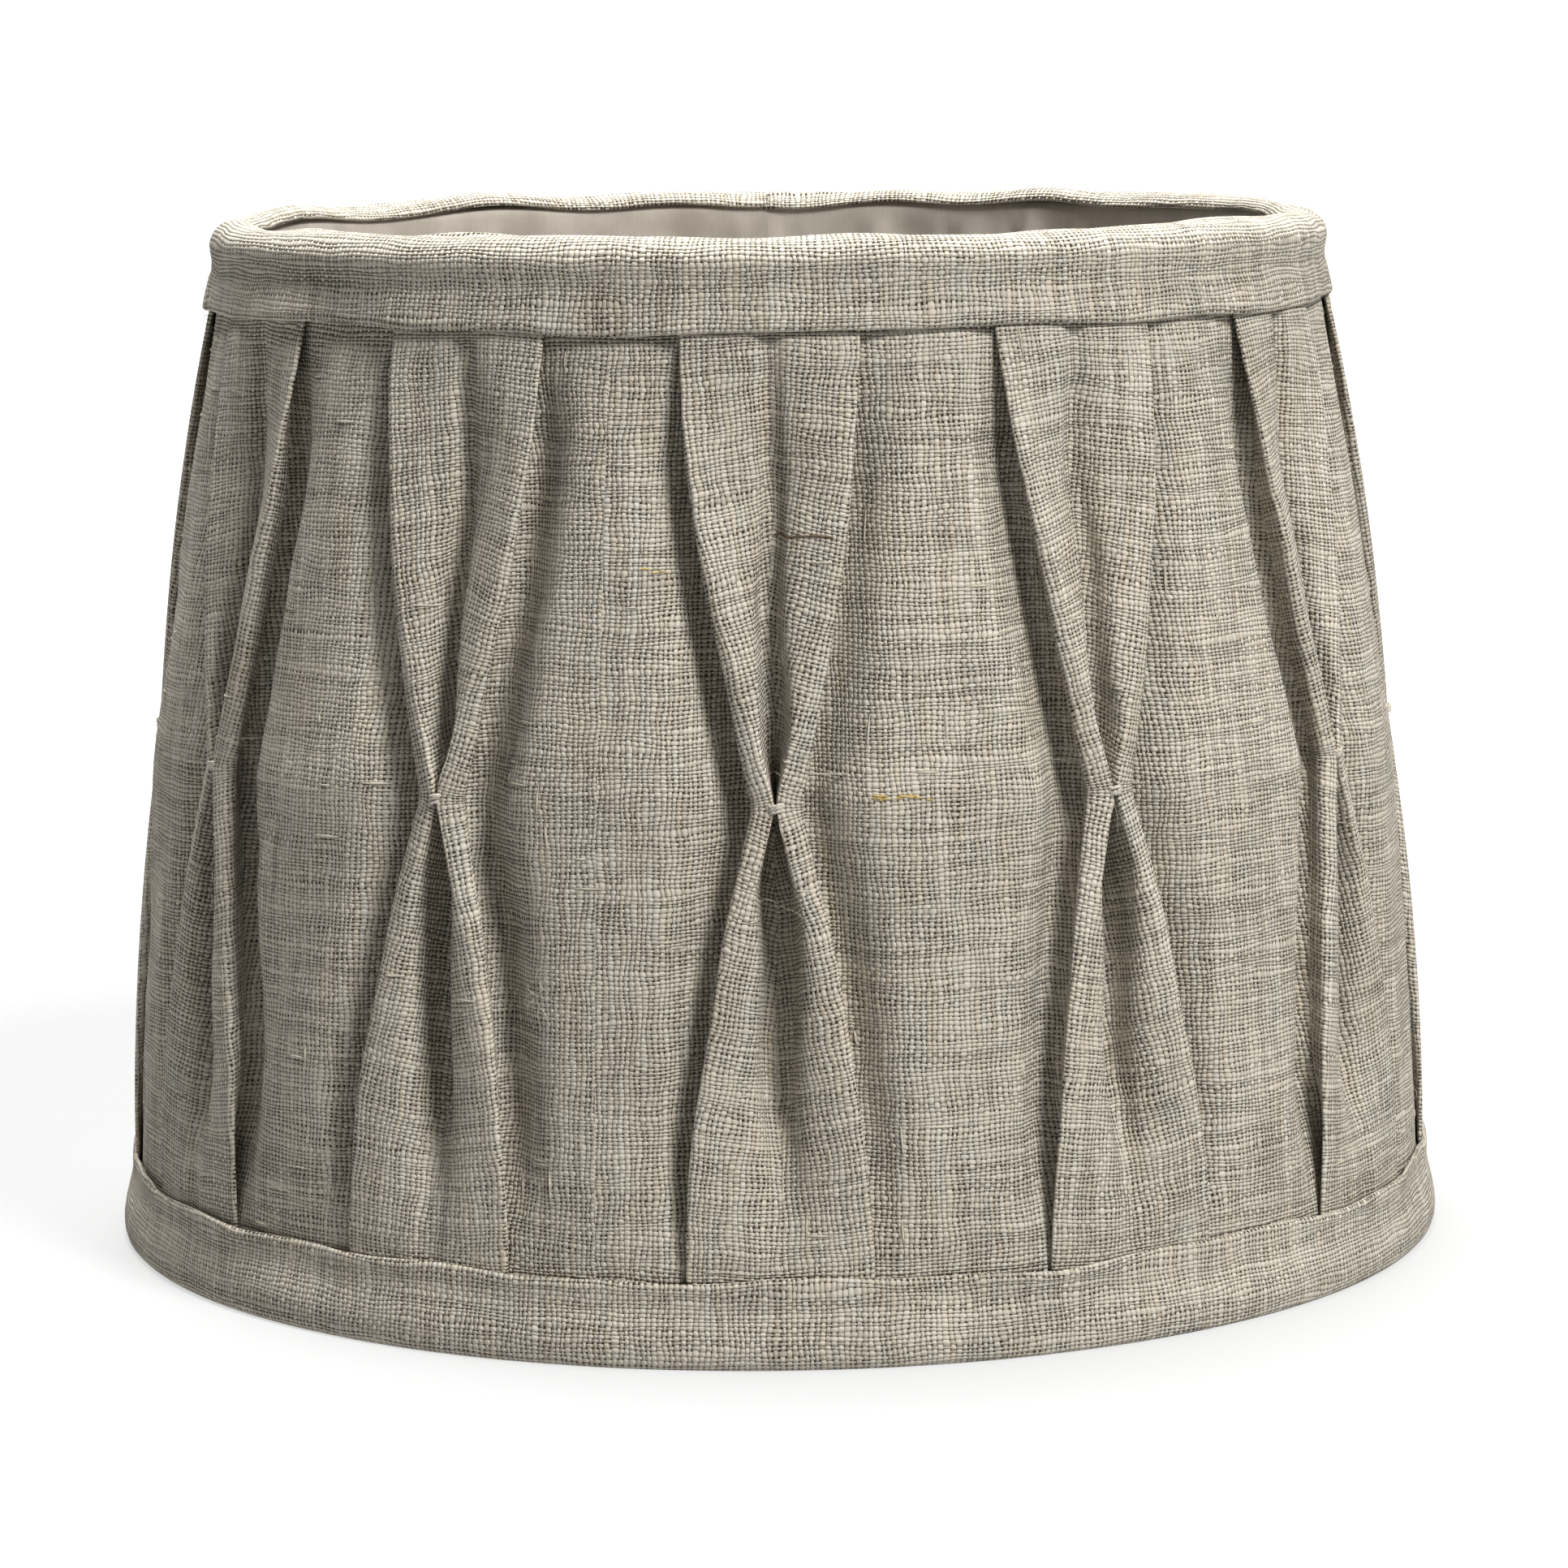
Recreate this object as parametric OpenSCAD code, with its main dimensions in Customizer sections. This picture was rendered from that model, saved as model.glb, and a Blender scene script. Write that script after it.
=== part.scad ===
// Pleated lamp shade: a round wire frame with a lining inside, a pinched box-pleated
// cover outside, a folded fabric binding round each ring, and a lampholder fitting that
// three wire arms carry inside the bottom ring. Millimetres, +Z up. The origin is on the
// shade's axis at the level of the face it stands on, and -Y is the front.

/* [Shade] */
// Outer diameter at the bottom binding
bottom_d = 250; // [200:1:320]
// Outer diameter at the top binding
top_d = 208; // [160:1:250]
// Overall height
shade_h = 190; // [160:1:240]

/* [Wire frame] */
// Diameter of the wire of the two rings
ring_wire_d = 3.2; // [2.4:0.1:3.4]
// Diameter of the wire of the struts
strut_wire_d = 2.5; // [2:0.1:3]
// Number of struts between the rings
strut_count = 6; // [6, 12]
// Diameter of the wire of the fitting's arms
arm_wire_d = 3; // [2.4:0.1:3.2]

/* [Fitting] */
// Height of the underside of the carrier ring
carrier_z = 34.5; // [26:0.5:45]
// Outer diameter of the carrier ring
carrier_d = 58; // [54:1:64]
// Hole through the carrier ring, for a 40 mm lampholder thread
carrier_hole_d = 42; // [41:0.5:44]
// Hole through the reducer ring, for a 28 mm lampholder thread
reducer_hole_d = 29; // [28.5:0.5:30]

/* [Cover] */
// Number of pinched pleats round the cover
pleat_count = 12; // [6, 12]
// Width of a pleat's face at the top binding
face_w_top = 30; // [20:1:32]
// Width of a pleat's face at the bottom binding
face_w_bottom = 32; // [20:1:36]
// Height at which each pleat is pinched together
pinch_z = 95.5; // [70:0.5:115]
// Height of the two bindings
binding_h = 15; // [12:0.5:20]

/* [Hidden] */
$fn = 64;

// Rings and the cone through their wires
roll_r = 4;                                   // half the thickness of a binding round its wire
land_half_w = 1.5;                            // half the width of the flat that the shade rests on
ring_z_low = sqrt(roll_r * roll_r - land_half_w * land_half_w);
ring_z_high = shade_h - ring_z_low;
ring_r_low = bottom_d / 2 - roll_r;
ring_r_high = top_d / 2 - roll_r;
taper = (ring_r_low - ring_r_high) / (ring_z_high - ring_z_low);
function cone_r(z) = ring_r_low - (z - ring_z_low) * taper;

// Layers, as horizontal distances from the cone through the wires
cloth_t = 0.9;                                // binding strip, folded double
gap = 0.15;                                   // between layers that lie on each other
facet_gap = 0.35;                             // the same, where a layer's flat facets cut inwards
lining_out = -(ring_wire_d / 2 + gap);
lining_in = lining_out - 0.8;
inner_leg_out = lining_in - gap;
inner_leg_in = inner_leg_out - cloth_t;
outer_leg_out = roll_r;
outer_leg_in = roll_r - cloth_t;
cover_in = ring_wire_d / 2 + facet_gap;
cover_hem_out = outer_leg_in - gap;

// Pleats
pitch_deg = 360 / pleat_count;
front_deg = 270;
valley_out = 2.6;                             // offset of the cloth in the folds at the pinch
bulge_out = 6.0;                              // offset of the panels and ridges at the pinch
ridge_half_w = 1.2;
valley_w = 3.5;                               // from a pleat's edge to the middle of its fold
bottom_inner_h = 9;                           // how far each binding reaches up inside
top_inner_h = 5;
open_low = binding_h + 2 * gap;               // the cover rises from under the bindings here
open_high = shade_h - open_low;
function pinch_share(z) =                     // 0 at the bindings' edges, 1 at the pinch
    z < pinch_z ? max(0, (z - open_low) / (pinch_z - open_low))
                : max(0, (open_high - z) / (open_high - pinch_z));
function face_w(z) = z < pinch_z ? face_w_bottom : face_w_top;
function mix(a, b, k) = a + (b - a) * k;

// Fitting
arm_count = 3;
arm_deg = 90;
plate_t = 1.5;
flange_h = 4;                                 // height of the carrier's turned-down rim
arm_head_z = carrier_z + plate_t - flange_h / 2 - 0.3;
arm_hole_d = arm_wire_d + 0.4;
reducer_lip_d = carrier_hole_d + 6;
reducer_spigot_d = carrier_hole_d - 0.4;
reducer_below = 0.5;                          // how far the spigot stands below the carrier

// Tacks
tack_d = 1.1;
tack_w = 3.4;
tack_r = cone_r(pinch_z) + bulge_out + tack_d / 2 + gap;

function two(n) = str(n < 10 ? "0" : "", n);
strut_names = [for (i = [1:strut_count]) str("strut_", two(i))];
arm_names = [for (i = [1:arm_count]) str("carrier_arm_", i)];
tack_names = [for (i = [1:pleat_count]) str("pinch_tack_", two(i))];

white_paint = [0.93, 0.93, 0.91];
white_plastic = [0.96, 0.96, 0.94];
lining_cloth = [0.86, 0.83, 0.79];
linen = [0.66, 0.63, 0.57];
linen_edge = [0.62, 0.59, 0.53];
thread = [0.78, 0.75, 0.68];

// ---- Wire frame ----

module ring_wire(r, z) {
    translate([0, 0, z]) rotate_extrude() translate([r, 0]) circle(d = ring_wire_d);
}

module bottom_ring() {
    color(white_paint) ring_wire(ring_r_low, ring_z_low);
}

module top_ring() {
    color(white_paint) ring_wire(ring_r_high, ring_z_high);
}

// A straight wire from one ring to the other, its ends cut to the rings it is welded to.
// Each stands behind the middle of a panel, clear of the folds.
module strut(i) {
    rise = ring_z_high - ring_z_low;
    lean = atan(taper);
    color(white_paint) rotate([0, 0, front_deg + pitch_deg / 2 + i * 360 / strut_count])
    difference() {
        translate([ring_r_low, 0, ring_z_low]) rotate([0, -lean, 0])
            cylinder(d = strut_wire_d, h = rise / cos(lean));
        ring_wire(ring_r_low, ring_z_low);
        ring_wire(ring_r_high, ring_z_high);
    }
}

// ---- Fitting ----

// The straight line from the bottom ring to the carrier ring's rim, as a round bar.
module arm_bar(i, d, share) {
    foot = [ring_r_low, ring_z_low];
    head = [carrier_d / 2 - plate_t, arm_head_z];
    span = head - foot;
    rotate([0, 0, arm_deg + i * 360 / arm_count]) translate([foot[0], 0, foot[1]])
        rotate([0, atan2(span[0], span[1]), 0]) cylinder(d = d, h = share * norm(span));
}

// A straight wire, its ends cut to the ring and the rim it is welded to.
module carrier_arm(i) {
    color(white_paint) difference() {
        arm_bar(i, arm_wire_d, 1);
        ring_wire(ring_r_low, ring_z_low);
        translate([0, 0, carrier_z - flange_h]) cylinder(d = carrier_d, h = 3 * flange_h, $fn = 96);
    }
}

// The fixed ring of the fitting: a flat plate with a turned-down rim.
module carrier_ring() {
    top = carrier_z + plate_t;
    color(white_paint) difference() {
        translate([0, 0, top - flange_h]) cylinder(d = carrier_d, h = flange_h, $fn = 96);
        translate([0, 0, top - flange_h - 1])
            cylinder(d = carrier_d - 2 * plate_t, h = flange_h + 1 - plate_t, $fn = 96);
        translate([0, 0, carrier_z - 1]) cylinder(d = carrier_hole_d, h = plate_t + 2, $fn = 96);
    }
}

// The loose ring that drops into the carrier ring and makes its hole smaller.
module reducer_ring() {
    low = carrier_z - reducer_below;
    lip_z = carrier_z + plate_t;
    color(white_plastic) difference() {
        union() {
            translate([0, 0, low]) cylinder(d = reducer_spigot_d, h = lip_z - low + plate_t, $fn = 96);
            translate([0, 0, lip_z]) cylinder(d = reducer_lip_d, h = plate_t, $fn = 96);
        }
        translate([0, 0, low - 1]) cylinder(d = reducer_hole_d, h = shade_h, $fn = 96);
    }
}

// ---- Cloth ----

module arm_holes() {
    for (i = [0:arm_count - 1]) arm_bar(i, arm_hole_d, 0.15);
}

// A plain cone of cloth, with a hole for each of the fitting's arms.
module lining() {
    low = ring_z_low;
    high = ring_z_high;
    color(lining_cloth) difference() {
        rotate_extrude($fn = 96) polygon([
            [cone_r(low) + lining_out, low], [cone_r(high) + lining_out, high],
            [cone_r(high) + lining_in, high], [cone_r(low) + lining_in, low]]);
        arm_holes();
    }
}

// A binding in section, folded round its wire at ring_at, with both legs going `up`.
module binding_section(ring_at, up, inner_h) {
    z0 = ring_at[1];
    z_out = z0 + up * (binding_h - ring_z_low);
    z_in = z0 + up * (inner_h - ring_z_low);
    edge = z0 - up * ring_z_low;
    floor_z = edge + up * cloth_t;
    far = z0 + up * 2 * binding_h;
    difference() {
        union() {
            translate(ring_at) circle(r = roll_r);
            leg([outer_leg_in, outer_leg_out], z0, z_out);
            leg([inner_leg_in, inner_leg_out], z0, z_in);
        }
        difference() {
            translate(ring_at) circle(r = roll_r - cloth_t);
            below(ring_at[0], floor_z, up);
        }
        leg([inner_leg_out, outer_leg_in], z0, far);
        below(ring_at[0], edge, up);
    }
}

// A sloping strip between two offsets from the cone and two heights.
module leg(offsets, z1, z2) {
    low = min(z1, z2);
    high = max(z1, z2);
    polygon([[cone_r(low) + offsets[0], low], [cone_r(low) + offsets[1], low],
             [cone_r(high) + offsets[1], high], [cone_r(high) + offsets[0], high]]);
}

// Everything beyond the level z, on the side away from `up`.
module below(x, z, up) {
    side = 4 * roll_r;
    translate([x - side / 2, up > 0 ? z - side : z]) square(side);
}

module bottom_binding() {
    color(linen_edge) difference() {
        rotate_extrude($fn = 128) binding_section([ring_r_low, ring_z_low], 1, bottom_inner_h);
        arm_holes();
    }
}

module top_binding() {
    color(linen_edge)
        rotate_extrude($fn = 128) binding_section([ring_r_high, ring_z_high], -1, top_inner_h);
}

// Heights of the cover's rows of points, from hem to hem and closer towards the pinch.
cover_z = concat([ring_z_low], [for (k = [0:4]) mix(open_low, pinch_z, k / 4)],
                 [for (k = [1:4]) mix(pinch_z, open_high, k / 4)], [ring_z_high]);

// One pleat at height z, as points of [degrees from its middle, offset from the cone]:
// the middle of the panel before it, the fold, the pleat's two edges and the fold after.
function pleat(z) =
    let (share = pinch_share(z),
         deg_per_mm = 360 / (2 * PI * (cone_r(z) + cover_hem_out)),
         half = mix(face_w(z) / 2, ridge_half_w, share) * deg_per_mm,
         fold = half + valley_w * deg_per_mm,
         side = mix(fold, pitch_deg / 2, 0.35),
         crown = mix(cover_hem_out, bulge_out, sqrt(share)),
         shoulder = mix(cover_hem_out, bulge_out - 0.4, sqrt(share)),
         dip = mix(cover_hem_out, valley_out, sqrt(share)),
         face = mix(cover_hem_out, bulge_out - 1.2, share))
    [[-pitch_deg / 2, crown], [-side, shoulder], [-fold, dip], [-half, crown],
     [0, face], [half, crown], [fold, dip], [side, shoulder]];

function on_cone(deg, offset, z) =
    let (r = cone_r(z) + offset) [r * cos(deg), r * sin(deg), z];
function outer_row(z) = [for (i = [0:pleat_count - 1], p = pleat(z))
    on_cone(front_deg + i * pitch_deg + p[0], p[1], z)];
function inner_row(z) = [for (i = [0:pleat_count - 1], p = pleat(z))
    on_cone(front_deg + i * pitch_deg + p[0], cover_in, z)];

// A closed loop of rows: up the outside and down the inside.
module pleated_cover() {
    rows = len(cover_z);
    cols = 8 * pleat_count;
    points = concat([for (z = cover_z, p = outer_row(z)) p],
                    [for (k = [rows - 1:-1:0], p = inner_row(cover_z[k])) p]);
    faces = [for (k = [0:2 * rows - 1], j = [0:cols - 1])
        let (a = k * cols, b = (k + 1) % (2 * rows) * cols, n = (j + 1) % cols)
        each [[a + j, b + j, b + n], [a + j, b + n, a + n]]];
    color(linen) polyhedron(points, faces);
}

// A short bar of thread across the two edges that meet at the pinch.
module pinch_tack(i) {
    half = (tack_w - tack_d) / 2;
    color(thread) rotate([0, 0, front_deg + i * pitch_deg]) translate([tack_r, 0, pinch_z])
    rotate([90, 0, 0]) union() {
        translate([0, 0, -half]) cylinder(d = tack_d, h = 2 * half, $fn = 24);
        for (s = [-1, 1]) translate([0, 0, s * half]) sphere(d = tack_d, $fn = 24);
    }
}

bottom_ring();
top_ring();
for (i = [0:strut_count - 1]) strut(i);
for (i = [0:arm_count - 1]) carrier_arm(i);
carrier_ring();
reducer_ring();
lining();
pleated_cover();
bottom_binding();
top_binding();
for (i = [0:pleat_count - 1]) pinch_tack(i);
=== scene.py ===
"""Pleated linen lamp shade: the cloth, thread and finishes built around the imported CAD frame.

Metres, +Z up, the shade's axis at the origin and -Y at the front. Cloth is laid out in
sections: x runs round the shade from a pleat's middle and y is the horizontal distance
out from the cone through the two ring wires.
"""
import math

import bpy
import numpy as np
from mathutils import Matrix, Vector


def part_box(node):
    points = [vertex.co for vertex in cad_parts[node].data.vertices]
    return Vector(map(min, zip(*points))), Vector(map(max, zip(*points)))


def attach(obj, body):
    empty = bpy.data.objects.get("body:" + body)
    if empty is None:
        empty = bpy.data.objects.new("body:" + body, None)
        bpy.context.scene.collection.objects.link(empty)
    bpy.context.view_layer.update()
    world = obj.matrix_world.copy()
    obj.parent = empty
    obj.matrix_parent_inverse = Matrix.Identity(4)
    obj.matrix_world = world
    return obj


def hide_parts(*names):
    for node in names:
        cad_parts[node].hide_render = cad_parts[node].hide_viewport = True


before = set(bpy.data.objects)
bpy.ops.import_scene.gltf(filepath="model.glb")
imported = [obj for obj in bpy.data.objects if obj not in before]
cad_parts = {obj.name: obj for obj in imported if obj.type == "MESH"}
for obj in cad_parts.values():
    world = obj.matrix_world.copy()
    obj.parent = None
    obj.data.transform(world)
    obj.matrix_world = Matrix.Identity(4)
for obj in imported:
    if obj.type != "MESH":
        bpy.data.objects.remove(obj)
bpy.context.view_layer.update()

MM = 0.001
SHADE = "shade"
SAG = 2.6 * MM                                    # of the lining, at half height
PLEATS = sum(name.startswith("pinch_tack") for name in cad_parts)
FRONT = math.radians(270)
BACK = math.radians(90)

# ---------------------------------------------------------------- sizes from the frame


def ring(node):
    """(radius, height) of the middle of the wire of one of the two rings."""
    low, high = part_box(node)
    wire = (high.z - low.z) / 2
    return high.x - wire, (high.z + low.z) / 2


LOW_R, LOW_Z = ring("bottom_ring")
HIGH_R, HIGH_Z = ring("top_ring")
TAPER = (LOW_R - HIGH_R) / (HIGH_Z - LOW_Z)
LEAN = math.hypot(1, TAPER)
TACK_LOW, TACK_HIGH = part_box("pinch_tack_01")
PINCH_Z = (TACK_LOW.z + TACK_HIGH.z) / 2
BOTTOM_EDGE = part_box("bottom_binding")[1].z
TOP_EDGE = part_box("top_binding")[0].z


def cone_r(z):
    """Radius of the cone through the ring wires."""
    return LOW_R - (z - LOW_Z) * TAPER


def lining_sag(z):
    """How far the lining and the cloth against it belly inwards between the rings."""
    share = np.clip((z - LOW_Z) / (HIGH_Z - LOW_Z), 0, 1)
    return SAG * np.sin(np.pi * share) ** 0.7


# how far out from the cone the tacks are: the first one is at the front
TACK_OUT = -(TACK_LOW.y + TACK_HIGH.y) / 2 - cone_r(PINCH_Z)

# ---------------------------------------------------------------- cloth
CLOTH_T = 0.40 * MM                               # thickness of the linen
HEM_FACE, HEM_RETURN, HEM_UNDER = 2.70 * MM, 2.28 * MM, 1.86 * MM   # its three layers at a ring
WARP_PITCH = 0.97 * MM                            # from thread to thread, round the shade
WEFT_PITCH = 0.775 * MM                           # from thread to thread, up the shade
FACE_HALF_TOP = 14.9 * MM                         # half a pleat's face at the top binding
FACE_HALF_LOW = 15.9 * MM                         # and at the bottom binding
PINCH_HALF = 0.45 * MM                            # and where it is pinched
PLEAT_CLOTH = 113 * MM                            # cloth that one pleat and one panel take


def mix(a, b, k):
    """a where k is 0, b where it is 1."""
    return a + (b - a) * k


def smooth(t):
    """0 up to t = 0, 1 from t = 1, and an S-curve between."""
    t = np.clip(t, 0, 1)
    return t * t * (3 - 2 * t)


class Waves:
    """A smooth random function of one or two lengths: a few cosines of mixed wavelengths."""

    def __init__(self, rng, size, short, long, count=5):
        share = rng.uniform(0, 1, count)
        self.k = 2 * np.pi / (short * (long / short) ** share)
        self.lean = rng.uniform(-0.35, 0.35, count)
        self.phase = rng.uniform(0, 2 * np.pi, count)
        self.size = size * math.sqrt(2 / count) * rng.uniform(0.6, 1.4, count)

    def __call__(self, a, b=0.0):
        total = 0.0
        for k, lean, phase, size in zip(self.k, self.lean, self.phase, self.size):
            total = total + size * np.cos(k * (a + lean * b) + phase)
        return total


def polar(angle, r, z):
    """Points at an angle, radius and height, as an array whose last axis is x, y, z."""
    angle, r, z = np.broadcast_arrays(angle, r, z)
    return np.stack([r * np.cos(angle), r * np.sin(angle), z], -1)


def cloth_mesh(name, points, start_uv, end_uv, closed):
    """A sheet of cloth from a grid of points, with its thread coordinates in metres.

    Each span between two columns has thread coordinates of its own at both its columns,
    so that the weave may jump at a fold that isn't seen.
    """
    rows, cols = points.shape[:2]
    spans = cols if closed else cols - 1
    r, j = np.meshgrid(np.arange(rows - 1), np.arange(spans), indexing="ij")
    n = (j + 1) % cols
    quads = np.stack([r * cols + j, r * cols + n, (r + 1) * cols + n, (r + 1) * cols + j], -1)
    uv = np.stack([start_uv[:-1], end_uv[:-1], end_uv[1:], start_uv[1:]], 2)
    mesh = bpy.data.meshes.new(name)
    mesh.from_pydata(points.reshape(-1, 3).tolist(), [], quads.reshape(-1, 4).tolist())
    layer = mesh.uv_layers.new(name="weave")
    layer.data.foreach_set("uv", uv.astype(np.float32).ravel())
    mesh.polygons.foreach_set("use_smooth", np.ones(len(mesh.polygons), bool))
    obj = bpy.data.objects.new(name, mesh)
    bpy.context.scene.collection.objects.link(obj)
    solid = obj.modifiers.new("thickness", "SOLIDIFY")
    solid.thickness = CLOTH_T
    solid.offset = 0
    return obj


# ---------------------------------------------------------------- pleated cover
# the groove down a face, from its middle, as shares of the groove's half width and depth
SOFT_GAP = np.array([[0.25, 0.50, 0.70, 0.86, 1.0], [0.07, 0.26, 0.50, 0.74, 0.94]])
DEEP_GAP = np.array([[0.42, 0.80, 0.90, 0.95, 1.0], [0.01, 0.06, 0.36, 0.70, 0.95]])
FLANK = np.array([0.25, 0.5, 0.75, 0.94])         # the face beside the gap, up to its edge
PANEL_T = np.array([0.0, 0.06, 0.13, 0.21, 0.30, 0.40, 0.52, 0.67, 0.84])
FOLD_POINTS, HIDDEN_POINTS = 6, 3
CREASE = DEEP_GAP.shape[1] + len(FLANK)           # a side's points before the face's edge
BACK_FOLD = CREASE + FOLD_POINTS + 1              # the point where the hidden layer turns back
SIDE_POINTS = CREASE + FOLD_POINTS + HIDDEN_POINTS + len(PANEL_T)
WIDTH = 2 * SIDE_POINTS + 2                       # columns of one pleat and one panel
COVER_ROWS = 70


def cover_heights():
    """Heights of the cover's rows, closer together at the pinch and at the bindings."""
    z = np.linspace(LOW_Z, HIGH_Z, 800)
    density = 1 + 1.9 * np.exp(-(((z - PINCH_Z) / (8 * MM)) ** 2))
    for edge in (BOTTOM_EDGE, TOP_EDGE):
        density += 0.9 * np.exp(-(((z - edge) / (7 * MM)) ** 2))
    share = np.concatenate([[0], np.cumsum((density[1:] + density[:-1]) / 2)])
    return np.interp(np.linspace(0, share[-1], COVER_ROWS), share, z)


def pinch_share(z):
    """0 at the bindings' edges, 1 at the pinch, rounded off over about a millimetre there."""
    above = (TOP_EDGE - z) / (TOP_EDGE - PINCH_Z)
    below = (z - BOTTOM_EDGE) / (PINCH_Z - BOTTOM_EDGE)
    away = 1 - np.clip(np.minimum(above, below), 0, 1)
    soft = 0.012
    return 1 - (np.sqrt(away**2 + soft**2) - soft)


class Side:
    """How one side of one pleat differs from the others."""

    def __init__(self, rng):
        # pairs are for the lower half and the upper half
        self.width = rng.normal(0, 0.35, 2) * MM              # added to the face's half width
        self.bow = rng.uniform(1.45, 1.75)                    # of the edge, from ring to pinch
        self.slope = rng.uniform((0.20, 0.28), (0.32, 0.46))  # of the face beside its gap
        self.strip = rng.uniform(3.2, 4.3) * MM               # of the return, in view at the pinch
        self.fold = rng.uniform(2.2, 3.4) * MM                # where the return ends, at the rings
        self.wave = Waves(rng, 0.22 * MM, 8 * MM, 26 * MM)    # in the face's surface
        self.wobble = Waves(rng, 0.16 * MM, 25 * MM, 90 * MM)  # along the edge
        self.channel = rng.uniform(2.6, 4.2) * MM             # of the panel, beside the fold
        self.gap = rng.uniform((3.3, 2.4), (4.2, 3.1)) * MM   # half the groove down the face


def edge_half(z, p, side):
    """Half the width of a pleat's face at each height."""
    upper = smooth((z - PINCH_Z) / (40 * MM) + 0.5)
    flat = mix(FACE_HALF_LOW + side.width[0], FACE_HALF_TOP + side.width[1], upper)
    half = flat * (1 - p**side.bow) + PINCH_HALF * p
    return half + side.wobble(z) * smooth(4 * p) * smooth(4 * (1 - p)), flat


def flank_rise(s, upper):
    """The face's rise from its gap, at s = 0, to its edge: straight above, bulging below."""
    return mix(1 - (1 - s) ** 1.7, s, upper)


def face_points(z, p, side, edge, valley):
    """The face from its gap's bottom out to its folded edge, with what its flank is made of."""
    edge_x, edge_y = edge
    valley_x, valley_y = valley
    upper = smooth((z - PINCH_Z) / (30 * MM) + 0.5)
    wide = edge_x - valley_x
    gap = np.minimum(mix(side.gap[0], side.gap[1], upper), 0.78 * wide)
    slope = mix(side.slope[0], side.slope[1], upper) * smooth(2.5 * p)
    shoulder = edge_y - slope * (wide - gap)
    shoulder = np.maximum(shoulder, valley_y + 0.4 * (edge_y - valley_y))
    start = valley_x + gap
    steep = smooth(3 * p - 0.7) * mix(1, 0.55, upper)
    across_gap, up_gap = mix(SOFT_GAP[:, None], DEEP_GAP[:, None], steep[:, None])
    x_gap = valley_x[:, None] + gap[:, None] * across_gap
    y_gap = valley_y[:, None] + (shoulder - valley_y)[:, None] * up_gap
    x_flank = start[:, None] + (edge_x - start)[:, None] * FLANK
    y_flank = mix(shoulder[:, None], edge_y[:, None], flank_rise(FLANK[None], upper[:, None]))
    x = np.concatenate([x_gap, x_flank], 1)
    y = np.concatenate([y_gap, y_flank], 1)
    across = (x - valley_x[:, None]) / wide[:, None]
    loose = (smooth(8 * p) * (1 - p) ** 1.5)[:, None] * np.sin(np.pi * across)
    return x, y + loose * side.wave(x, z[:, None]), (start, shoulder, upper)


def side_section(z, p, side, valley, half_pitch, panel_wave):
    """One side of a pleat, from its valley to the middle of the next panel, as x and y."""
    x_a, _ = edge_half(z, p, side)
    y_a = HEM_FACE + 3.5 * MM * p**0.55 + 0.9 * MM * np.sin(np.pi * p)
    x_face, y_face, (start, shoulder, upper) = face_points(z, p, side, (x_a, y_a), valley)
    strip = side.strip * p**1.8
    x_f = x_a + 0.30 * MM + strip
    # the fold that the strip makes before it turns back under the face
    outer = [(x_a + 0.02 * MM, y_a),
             (x_a + 0.12 * MM + 0.10 * strip, y_a - 0.03 * MM),
             (x_a + 0.20 * MM + 0.38 * strip, y_a - 0.12 * MM - 0.04 * strip),
             (x_a + 0.27 * MM + 0.74 * strip, y_a - 0.22 * MM - 0.13 * strip),
             (x_f, y_a - 0.30 * MM - 0.28 * strip),
             (x_f - 0.10 * MM - 0.02 * strip, y_a - 0.40 * MM - 0.50 * strip)]
    # hidden layers, kept under whatever part of the face is above them
    x_b = mix(side.fold, x_a + (3 * p - 2) * MM, smooth(2.5 * p))
    x_b = np.maximum(x_b, np.minimum(start + 0.4 * MM, x_a))
    x_m = (x_b + x_f) / 2
    reach = np.clip((x_b - start) / (x_a - start), 0, 1)
    above = mix(shoulder, y_a, flank_rise(reach, upper))
    back = np.minimum(mix(HEM_RETURN, 2.5 * MM, p), above - 0.5 * MM)
    under = back - mix(HEM_RETURN - HEM_UNDER, 0.9 * MM, smooth(3 * p))
    y_v = mix(HEM_UNDER, -0.9 * MM - 0.4 * lining_sag(z), smooth(2.9 * p))
    hidden = [(x_m, np.minimum(back + 0.25 * p * MM, y_a - 0.42 * MM)),
              (x_b, (back + under) / 2),
              (x_m, mix(under, y_v, 0.5))]
    # the panel: a channel beside the fold, then a rise to its crown
    crown = HEM_UNDER + 4.8 * MM * p**0.6
    t = PANEL_T[None]
    x_p = x_f[:, None] + (half_pitch - x_f)[:, None] * t
    channel = (side.channel * mix(0.35, 1, p) * smooth(4 * p))[:, None]
    steep = smooth((x_p - x_f[:, None] - 0.4 * channel) / (channel + 6.5 * MM))
    rise = mix(1 - (1 - t) ** 2.4, mix(steep, 1 - (1 - t) ** 2, 0.25), smooth(3 * p)[:, None])
    y_p = y_v[:, None] + (crown - y_v)[:, None] * rise
    y_p = y_p + panel_wave(x_p) * (smooth(6 * p) * (0.35 + 0.65 * p))[:, None] * smooth(3 * t)
    x = np.concatenate([x_face] + [c[0][:, None] for c in outer + hidden] + [x_p], 1)
    y = np.concatenate([y_face] + [c[1][:, None] for c in outer + hidden] + [y_p], 1)
    return x, y, crown


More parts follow.
